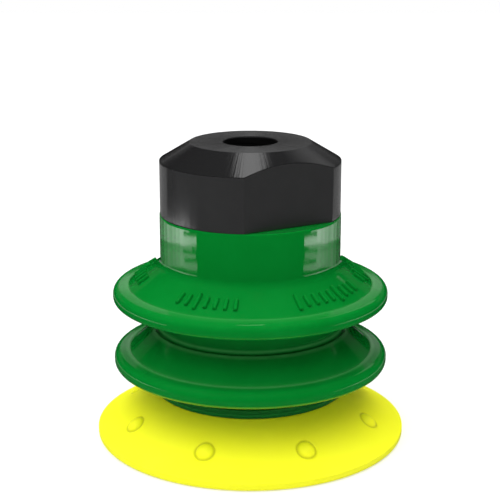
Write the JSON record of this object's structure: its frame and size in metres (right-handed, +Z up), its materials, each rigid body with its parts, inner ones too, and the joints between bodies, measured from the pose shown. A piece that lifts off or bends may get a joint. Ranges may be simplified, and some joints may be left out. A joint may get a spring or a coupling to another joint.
{
  "type": "bellows suction cup",
  "caption": "Round vacuum suction cup with a folding bellows, a soft flared sealing lip and a threaded fitting with wrench flats on top.",
  "frame": {"origin": "centre of the plane that the lip seals on, at the bottom of the part", "axes": "+Z up along the axis of the cup, from the lip to the fitting; the front flat of the fitting faces between -Y and +X"},
  "size_m": [0.025, 0.025, 0.0239],
  "materials": {
    "fitting": "matte black moulded plastic",
    "bellows": "smooth green moulded elastomer, satin",
    "sealing_lip": "smooth yellow moulded elastomer, softer than the bellows, satin"
  },
  "bodies": {
    "holder": {"fitting": "fitting", "bellows": "bellows"},
    "lip": {"sealing_lip": "sealing_lip"}
  },
  "joints": [
    {"name": "bellows_stroke", "type": "slide", "parent": "holder", "child": "lip", "axis": [0, 0, 1], "range_m": [0, 0.005], "stiffness_N_per_m": 600, "deforming": ["bellows"]}
  ]
}
